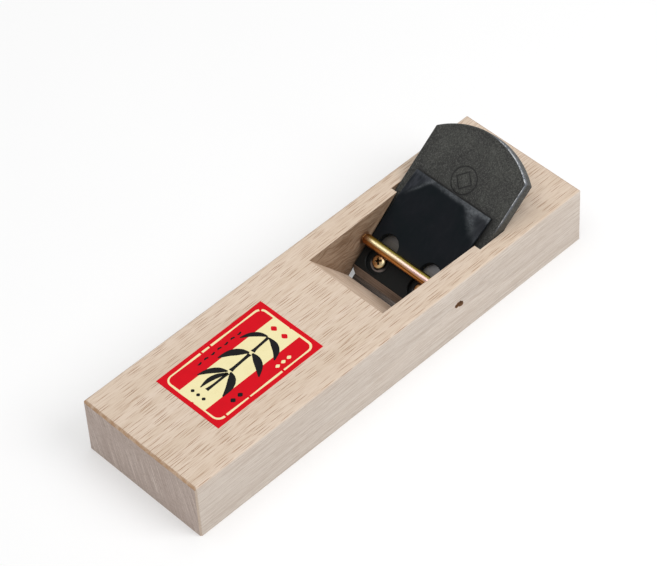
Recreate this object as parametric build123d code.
from build123d import *
import math
import os

# Japanese pull plane (kanna) for a replaceable blade: an oak block, a thick steel blade holder wedged in
# two grooves, a thin cutting blade, a chipbreaker held by two screws, and a press bar across the throat.
#
# Frame: origin at the middle of the sole, +X towards the toe (the way the plane is pulled), +Y towards
# the right side, +Z up. Millimetres. Every piece is written as its own STEP file in parts/.
#
# The holder, blade, chipbreaker and screws are drawn in the iron frame and then laid on the bed. There,
# local X runs up the slope of the holder's upper face from the sole, and local Z is the lift above that face.

# ---- the block -----------------------------------------------------------------------------------
BODY_LENGTH = 180.0
BODY_WIDTH = 54.0
BODY_HEIGHT = 24.0
END_CHAMFER = 0.9            # the two upper end edges
SIDE_ROUND = 1.2             # the two long upper edges
CORNER_CHAMFER = 0.6         # the four upright corner edges

# ---- the bed and the throat ----------------------------------------------------------------------
BED_ANGLE = 38.0             # slope of the bed and of the iron, degrees from the sole
MOUTH_X = -19.2              # where the holder's upper face would meet the sole
MOUTH_OPENING = 1.0          # gap in the sole ahead of the blade's line
MOUTH_LIP_Z = 2.5            # height at which the front wall turns down to the mouth
MOUTH_LIP_GAP = 1.0          # from that turn to the holder's upper face, square to the face
THROAT_FRONT_ANGLE = 50.9    # slope of the throat's front wall, degrees from the sole
THROAT_FLARE = 1.0           # how much wider each cheek stands at the rear than at the front
CHEEK_GRIP = 3.4             # how far each cheek's front edge reaches in over the iron
GROOVE_FOOT_LIFT = 0.25      # groove's front face above the holder, at the sole
GROOVE_TOP_LIFT = 2.3        # the same, at the top of the block

# ---- the blade holder ----------------------------------------------------------------------------
IRON_WIDTH = 41.6
IRON_THICKNESS = 5.3
IRON_SIDE_GAP = 0.2          # holder to groove, on each side
SLIDE_GAP = 0.05             # between flat faces that slide on each other
HEAD_CORNER_S = 62.8         # where the straight sides end
HEAD_ARCH = 7.6              # rise of the arched head above its corners
HEAD_CHAMFER = 0.5
TONGUE_TOP_S = 5.3           # where the narrowed lower end starts to widen
TONGUE_WIDENING = 2.2        # length of the slanted shoulders
HOLDER_LOW_S = 4.0           # lowest edge of the holder
HOLDER_LIP = 0.6             # height of the holder's blunt lower edge
GRIND_ANGLE = 29.5           # angle of the ground bevel under the cutting edge

# ---- the cutting blade ---------------------------------------------------------------------------
BLADE_EDGE_S = 1.2           # the cutting edge, drawn back above the sole
BLADE_LENGTH = 23.6
BLADE_THICKNESS = 1.0
BLADE_SIDE_GAP = 0.1

# ---- the clamp screws ----------------------------------------------------------------------------
SCREW_HEAD_RADIUS = 2.75
SCREW_HEAD_HEIGHT = 1.4
SCREW_HEAD_ROUND = 0.95
SCREW_SHANK_RADIUS = 1.45
SCREW_HOLE_GAP = 0.05        # shank to the threaded hole
SCREW_TIP_SHORT = 0.4        # tip to the holder's under face
CROSS_RIM = 1.25             # from the end of the cross recess to the head's rim
CROSS_WIDTH = 0.75
CROSS_DEPTH = 0.9

# ---- the chipbreaker -----------------------------------------------------------------------------
CAP_SIDE_GAP = 0.1           # chipbreaker to the cheeks' front edges, on each side
CAP_EDGE_S = 4.6
CAP_EDGE_HEIGHT = 0.6
CAP_BEVEL_ANGLE = 34.64      # slope of the bevelled edge above the holder's face, degrees
CAP_TOP_S = 46.5
CAP_LIFT = 2.5               # upper face above the holder's face
CAP_UPPER_THICKNESS = 1.2    # above the hollow
CAP_HOLLOW_RUN = 2.0
CAP_CORNER = 1.3             # clipped lower corners
CAP_OVER_BLADE = 1.2         # from the blade's upper edge to the hollow under the upper part
TONGUE_SHOULDER = 0.9        # how much narrower the iron's lower end is than the chipbreaker, on each side
EAR_WIDTH = 8.4              # each ear along the top edge ...
EAR_DEPTH = 10.8             # ... and down the side edge
SCREW_INSET = 7.4            # screw's axis to the chipbreaker's side edge
SEAT_RIM = 2.15              # counterbore beyond the screw head
EYE_RIM = 1.55               # keyhole's large hole beyond the screw head
EYE_RISE = 5.9               # from the screw up to the middle of the large hole
SLOT_GAP = 0.25              # keyhole's narrow part beyond the shank
SLOT_ROOM = 1.5              # how far the narrow part runs on below the screw

# ---- the press bar -------------------------------------------------------------------------------
BAR_S = 17.2
BAR_RADIUS = 2.0
BAR_CAP_GAP = 0.5            # sleeve to the chipbreaker's upper face
BAR_END_GAP = 0.55           # sleeve to cheek, on each side
BAR_END_ROUND = 0.6
PIN_RADIUS = 1.2
PIN_RUNNING_GAP = 0.05
PIN_RECESS = 1.2             # how deep the pin's ends lie below the sides
PIN_MOUTH_TEAR = 0.3         # how much wider the torn mouth of each pin hole is

# ---- the maker's stamp and the paper label -------------------------------------------------------
STAMP_RADIUS = 5.2
STAMP_GAP = 0.3              # stamp to the chipbreaker's top edge
STAMP_LINE = 0.4
STAMP_DEPTH = 0.12
STAMP_DIAMOND = 2.6
LABEL_LENGTH = 47.6
LABEL_WIDTH = 29.4
LABEL_THICKNESS = 0.15
LABEL_TOE_MARGIN = 22.0      # label's front edge to the toe
LABEL_Y = -1.1
LABEL_TURN = 0.6             # degrees

# ---- worked out from the sizes above -------------------------------------------------------------
CUT = 60.0                   # reach of a cutting shape beyond the piece that it cuts
OVERRUN = 1.0                # how far a cutting shape runs past the face that it opens
SLOPE = math.radians(BED_ANGLE)
IRON_FRAME = Plane(
    origin=(MOUTH_X, 0, 0),
    x_dir=(-math.cos(SLOPE), 0, math.sin(SLOPE)),
    z_dir=(math.sin(SLOPE), 0, math.cos(SLOPE)),
)
BED_LIFT = -IRON_THICKNESS - SLIDE_GAP
GROOVE_HALF = IRON_WIDTH / 2 + IRON_SIDE_GAP
THROAT_FRONT_HALF = IRON_WIDTH / 2 - CHEEK_GRIP
CAP_HALF = THROAT_FRONT_HALF - CAP_SIDE_GAP
TONGUE_HALF = CAP_HALF - TONGUE_SHOULDER
BLADE_TOP_S = BLADE_EDGE_S + BLADE_LENGTH
SCREW_S = BLADE_EDGE_S + BLADE_LENGTH / 2
SCREW_Y = CAP_HALF - SCREW_INSET
SCREW_HOLE_RADIUS = SCREW_SHANK_RADIUS + SCREW_HOLE_GAP
SLOT_RADIUS = SCREW_SHANK_RADIUS + SLOT_GAP
SEAT_RADIUS = SCREW_HEAD_RADIUS + SEAT_RIM
SEAT_FLOOR = CAP_LIFT - SCREW_HEAD_HEIGHT - SLIDE_GAP
EYE_RADIUS = SCREW_HEAD_RADIUS + EYE_RIM
EYE_S = SCREW_S + EYE_RISE
CAP_HOLLOW_S = BLADE_TOP_S + CAP_OVER_BLADE
CAP_BEVEL_TOP_S = CAP_EDGE_S + (CAP_LIFT - CAP_EDGE_HEIGHT) / math.tan(math.radians(CAP_BEVEL_ANGLE))
EAR_TOP_Y = CAP_HALF - EAR_WIDTH
EAR_SIDE_S = CAP_TOP_S - EAR_DEPTH
BAR_LIFT = CAP_LIFT + BAR_CAP_GAP + BAR_RADIUS
STAMP_S = CAP_TOP_S + STAMP_GAP + STAMP_RADIUS
LABEL_X = BODY_LENGTH / 2 - LABEL_TOE_MARGIN - LABEL_LENGTH / 2


def world_xz(s, lift):
    """World X and Z of a point given in the iron frame."""
    x = MOUTH_X - s * math.cos(SLOPE) + lift * math.sin(SLOPE)
    return x, s * math.sin(SLOPE) + lift * math.cos(SLOPE)


def x_on_slope(lift, z):
    """World X at height z on the plane that lies at this lift above the holder's face."""
    return MOUTH_X + lift / math.sin(SLOPE) - z / math.tan(SLOPE)


BAR_X, BAR_Z = world_xz(BAR_S, BAR_LIFT)
CHEEK_END_X = x_on_slope(GROOVE_TOP_LIFT, BODY_HEIGHT)
LIP_X = x_on_slope(MOUTH_LIP_GAP, MOUTH_LIP_Z)
THROAT_FRONT_X = LIP_X + (BODY_HEIGHT - MOUTH_LIP_Z) / math.tan(math.radians(THROAT_FRONT_ANGLE))


def prism_y(points, half_width):
    """Extrude a closed outline of (x, z) points to the same reach on both sides of the middle plane."""
    outline = make_face(Polyline(*points, close=True))
    return extrude(Plane.XZ * outline, amount=half_width, both=True)


def laid_on_bed(shape):
    """Move a shape from the iron frame to its place on the bed."""
    return IRON_FRAME.location * shape


def cylinder_y(x, z, radius, low, high):
    """A cylinder along Y from low to high."""
    middle = Location((x, (low + high) / 2, z), (90, 0, 0))
    return middle * Cylinder(radius, high - low)


def cheek_half(x):
    """Half width between the cheeks at this place along the throat."""
    share = (THROAT_FRONT_X - x) / (THROAT_FRONT_X - CHEEK_END_X)
    return THROAT_FRONT_HALF + share * THROAT_FLARE


# ---- the block -----------------------------------------------------------------------------------
def blank():
    """The squared block with its upper edges eased."""
    block = Pos(0, 0, BODY_HEIGHT / 2) * Box(BODY_LENGTH, BODY_WIDTH, BODY_HEIGHT)
    block = chamfer(block.edges().filter_by(Axis.Z), CORNER_CHAMFER)
    top = block.faces().sort_by(Axis.Z)[-1]
    block = chamfer(top.edges().filter_by(Axis.Y), END_CHAMFER)
    top = block.faces().sort_by(Axis.Z)[-1]
    return fillet(top.edges().filter_by(Axis.X), SIDE_ROUND)


def throat_void():
    """The open throat between the cheeks: front wall, mouth lip, mouth and bed."""
    mouth_front = MOUTH_X + MOUTH_OPENING
    lip_slope = (mouth_front - LIP_X) / MOUTH_LIP_Z
    wall_slope = 1 / math.tan(math.radians(THROAT_FRONT_ANGLE))
    side = prism_y(
        [
            (THROAT_FRONT_X + wall_slope * CUT, BODY_HEIGHT + CUT),
            (LIP_X, MOUTH_LIP_Z),
            (mouth_front + lip_slope * OVERRUN, -OVERRUN),
            (x_on_slope(BED_LIFT, -OVERRUN), -OVERRUN),
            (x_on_slope(BED_LIFT, BODY_HEIGHT + CUT), BODY_HEIGHT + CUT),
        ],
        GROOVE_HALF,
    )
    front, back = THROAT_FRONT_X + CUT, THROAT_FRONT_X - 2 * CUT
    plan = make_face(
        Polyline(
            (front, cheek_half(front)),
            (front, -cheek_half(front)),
            (back, -cheek_half(back)),
            (back, cheek_half(back)),
            close=True,
        )
    )
    return side & (Pos(0, 0, -CUT) * extrude(plan, amount=3 * CUT))


def groove_void():
    """The two side grooves that wedge the holder, cut as one tapering slot across the block."""
    foot_x = x_on_slope(GROOVE_FOOT_LIFT, 0)
    front_slope = (foot_x - CHEEK_END_X) / BODY_HEIGHT
    return prism_y(
        [
            (foot_x + front_slope * OVERRUN, -OVERRUN),
            (CHEEK_END_X - front_slope * OVERRUN, BODY_HEIGHT + OVERRUN),
            (x_on_slope(BED_LIFT, BODY_HEIGHT + OVERRUN), BODY_HEIGHT + OVERRUN),
            (x_on_slope(BED_LIFT, -OVERRUN), -OVERRUN),
        ],
        GROOVE_HALF,
    )


def pin_bore():
    """The hole for the press bar's pin, with a wider mouth at each side of the block."""
    side = BODY_WIDTH / 2
    bore = cylinder_y(BAR_X, BAR_Z, PIN_RADIUS, -side - OVERRUN, side + OVERRUN)
    for sign in (-1, 1):
        ends = sorted((sign * (side - PIN_RECESS), sign * (side + OVERRUN)))
        bore += cylinder_y(BAR_X, BAR_Z, PIN_RADIUS + PIN_MOUTH_TEAR, *ends)
    return bore


def plane_body():
    return blank() - throat_void() - groove_void() - pin_bore()


def press_bar_pin():
    reach = BODY_WIDTH / 2 - PIN_RECESS
    return cylinder_y(BAR_X, BAR_Z, PIN_RADIUS, -reach, reach)


def press_bar_sleeve():
    reach = cheek_half(BAR_X) - BAR_END_GAP
    sleeve = cylinder_y(BAR_X, BAR_Z, BAR_RADIUS, -reach, reach)
    sleeve = fillet(sleeve.edges().filter_by(GeomType.CIRCLE), BAR_END_ROUND)
    bore = cylinder_y(BAR_X, BAR_Z, PIN_RADIUS + PIN_RUNNING_GAP, -reach - OVERRUN, reach + OVERRUN)
    return sleeve - bore


def paper_label():
    lift = BODY_HEIGHT + LABEL_THICKNESS / 2
    place = Location((LABEL_X, LABEL_Y, lift), (0, 0, LABEL_TURN))
    return place * Box(LABEL_LENGTH, LABEL_WIDTH, LABEL_THICKNESS)


# ---- the holder and the blade, in the iron frame -------------------------------------------------
def shouldered(low, half_width):
    """Corner points of a lower end that is narrowed to the tongue's width, from one side to the other."""
    shoulder = TONGUE_TOP_S + TONGUE_WIDENING
    right = [(shoulder, half_width), (TONGUE_TOP_S, TONGUE_HALF), (low, TONGUE_HALF)]
    return right + [(s, -y) for s, y in reversed(right)]


def screw_holes(radius):
    """Two upright cutters, one for each screw, right through whatever they cut."""
    return [Pos(SCREW_S, sign * SCREW_Y, 0) * Cylinder(radius, CUT) for sign in (-1, 1)]


def stamp():
    """A plain ring with a diamond in it, as deep as the stamp's strike."""
    ring = Circle(STAMP_RADIUS) - Circle(STAMP_RADIUS - STAMP_LINE)
    outer, inner = 2 * STAMP_DIAMOND, 2 * (STAMP_DIAMOND - STAMP_LINE)
    diamond = Rot(0, 0, 45) * (Rectangle(outer, outer) - Rectangle(inner, inner))
    return Pos(STAMP_S, 0, -STAMP_DEPTH) * extrude(ring + diamond, amount=OVERRUN)


def iron_holder():
    half = IRON_WIDTH / 2
    ends = shouldered(HOLDER_LOW_S, half)
    side_a, side_b = (HEAD_CORNER_S, half), (HEAD_CORNER_S, -half)
    arch = ThreePointArc(side_b, (HEAD_CORNER_S + HEAD_ARCH, 0), side_a)
    outline = make_face([arch, Polyline(side_a, *ends, side_b)])
    holder = extrude(outline, amount=-IRON_THICKNESS)
    arch_edges = holder.edges().filter_by(GeomType.CIRCLE)
    holder = chamfer(arch_edges, HEAD_CHAMFER)
    recess_top = BLADE_TOP_S + SLIDE_GAP
    floor = -BLADE_THICKNESS - SLIDE_GAP
    holder -= prism_y([(-CUT, OVERRUN), (recess_top, OVERRUN), (recess_top, floor), (-CUT, floor)], CUT)
    run = IRON_THICKNESS / math.tan(math.radians(GRIND_ANGLE))
    lip = floor - HOLDER_LIP
    top = (HOLDER_LOW_S, lip)
    foot = (HOLDER_LOW_S + run, lip - IRON_THICKNESS)
    holder -= prism_y([top, foot, (HOLDER_LOW_S - CUT, foot[1]), (HOLDER_LOW_S - CUT, lip)], CUT)
    return laid_on_bed(holder - screw_holes(SCREW_HOLE_RADIUS) - stamp())


def cutting_blade():
    """Thin blade with a cutting edge along both long sides; the upper edge is the spare."""
    half = IRON_WIDTH / 2 - BLADE_SIDE_GAP
    low_end = shouldered(BLADE_EDGE_S, half)
    high_end = [(BLADE_EDGE_S + BLADE_TOP_S - s, -y) for s, y in low_end]
    blade = extrude(make_face(Polyline(*low_end, *high_end, close=True)), amount=-BLADE_THICKNESS)
    run = 2 * BLADE_THICKNESS / math.tan(math.radians(GRIND_ANGLE))
    deep = -2 * BLADE_THICKNESS
    for edge, way in ((BLADE_EDGE_S, 1), (BLADE_TOP_S, -1)):
        blade -= prism_y([(edge, 0), (edge + way * run, deep), (edge - way, deep), (edge - way, 0)], CUT)
    return laid_on_bed(blade - screw_holes(SCREW_HOLE_RADIUS + SLIDE_GAP))


# ---- the chipbreaker, in the iron frame ----------------------------------------------------------
def cap_plate():
    """The flat plate: bevelled edge below, hollow underside above, upper corners left off for the ears."""
    under = CAP_LIFT - CAP_UPPER_THICKNESS
    plate = prism_y(
        [
            (CAP_EDGE_S, SLIDE_GAP),
            (CAP_EDGE_S, CAP_EDGE_HEIGHT),
            (CAP_BEVEL_TOP_S, CAP_LIFT),
            (CAP_TOP_S, CAP_LIFT),
            (CAP_TOP_S, under),
            (CAP_HOLLOW_S + CAP_HOLLOW_RUN, under),
            (CAP_HOLLOW_S, SLIDE_GAP),
        ],
        CAP_HALF,
    )
    half = [
        (CAP_TOP_S, EAR_TOP_Y),
        (EAR_SIDE_S, CAP_HALF),
        (CAP_EDGE_S + CAP_CORNER, CAP_HALF),
        (CAP_EDGE_S, CAP_HALF - CAP_CORNER),
    ]
    outline = make_face(Polyline(*half, *[(s, -y) for s, y in reversed(half)], close=True))
    return plate & extrude(outline, amount=CAP_LIFT)


def ear(sign):
    """One upper corner of the plate, bent down along a slanted line until its tip meets the holder."""
    bend_a = Vector(CAP_TOP_S, sign * EAR_TOP_Y, CAP_LIFT)
    bend_b = Vector(EAR_SIDE_S, sign * CAP_HALF, CAP_LIFT)
    corner = Vector(CAP_TOP_S, sign * CAP_HALF, CAP_LIFT)
    along = (bend_b - bend_a).normalized()
    out = corner - bend_a - along * (corner - bend_a).dot(along)
    drop = CAP_LIFT - CAP_UPPER_THICKNESS - SLIDE_GAP
    tip = bend_a + along * (corner - bend_a).dot(along)
    tip += out.normalized() * math.sqrt(out.length ** 2 - drop ** 2) - Vector(0, 0, drop)
    outer = make_face(Polyline(bend_a, bend_b, tip, close=True))
    normal = outer.face().normal_at()
    return extrude(outer, amount=CAP_UPPER_THICKNESS, dir=normal if normal.Z < 0 else -normal)


def keyhole(sign):
    """Counterbore, slot and large hole for one screw."""
    floor_up = CAP_LIFT - SEAT_FLOOR + OVERRUN
    seat = Pos(SCREW_S, sign * SCREW_Y, SEAT_FLOOR + floor_up / 2) * Cylinder(SEAT_RADIUS, floor_up)
    eye = Pos(EYE_S, sign * SCREW_Y, 0) * Cylinder(EYE_RADIUS, CUT)
    low = SCREW_S - SLOT_ROOM
    slot = Pos((low + EYE_S) / 2, sign * SCREW_Y, 0) * Box(EYE_S - low, 2 * SLOT_RADIUS, CUT)
    slot_end = Pos(low, sign * SCREW_Y, 0) * Cylinder(SLOT_RADIUS, CUT)
    return seat + eye + slot + slot_end


def chipbreaker():
    plate = cap_plate() + ear(1) + ear(-1)
    return laid_on_bed(plate - keyhole(1) - keyhole(-1))


# ---- the clamp screws, in the iron frame ---------------------------------------------------------
def clamp_screw(sign):
    """Pan-head screw with a cross recess; its head stands in the counterbore."""
    under = SEAT_FLOOR + SLIDE_GAP
    head = Pos(0, 0, under + SCREW_HEAD_HEIGHT / 2) * Cylinder(SCREW_HEAD_RADIUS, SCREW_HEAD_HEIGHT)
    head = fillet(head.edges().sort_by(Axis.Z)[-1], SCREW_HEAD_ROUND)
    length = under + IRON_THICKNESS - SCREW_TIP_SHORT
    shank = Pos(0, 0, under - length / 2) * Cylinder(SCREW_SHANK_RADIUS, length)
    top = under + SCREW_HEAD_HEIGHT
    cross_length = 2 * (SCREW_HEAD_RADIUS - CROSS_RIM)
    bar = Pos(0, 0, top) * Box(cross_length, CROSS_WIDTH, 2 * CROSS_DEPTH)
    recess = Rot(0, 0, 45) * bar + Rot(0, 0, -45) * bar
    return laid_on_bed(Pos(SCREW_S, -sign * SCREW_Y, 0) * (head + shank - recess))


PIECES = {
    "plane_body": plane_body,
    "press_bar_pin": press_bar_pin,
    "press_bar_sleeve": press_bar_sleeve,
    "paper_label": paper_label,
    "iron_holder": iron_holder,
    "cutting_blade": cutting_blade,
    "chipbreaker": chipbreaker,
    "clamp_screw_left": lambda: clamp_screw(-1),
    "clamp_screw_right": lambda: clamp_screw(1),
}

os.makedirs("parts", exist_ok=True)
for name, build in PIECES.items():
    piece = build()
    export_step(piece, f"parts/{name}.step")
    size = piece.bounding_box().size
    print(f"{name}: {size.X:.1f} x {size.Y:.1f} x {size.Z:.1f} mm, {len(piece.solids())} solid")
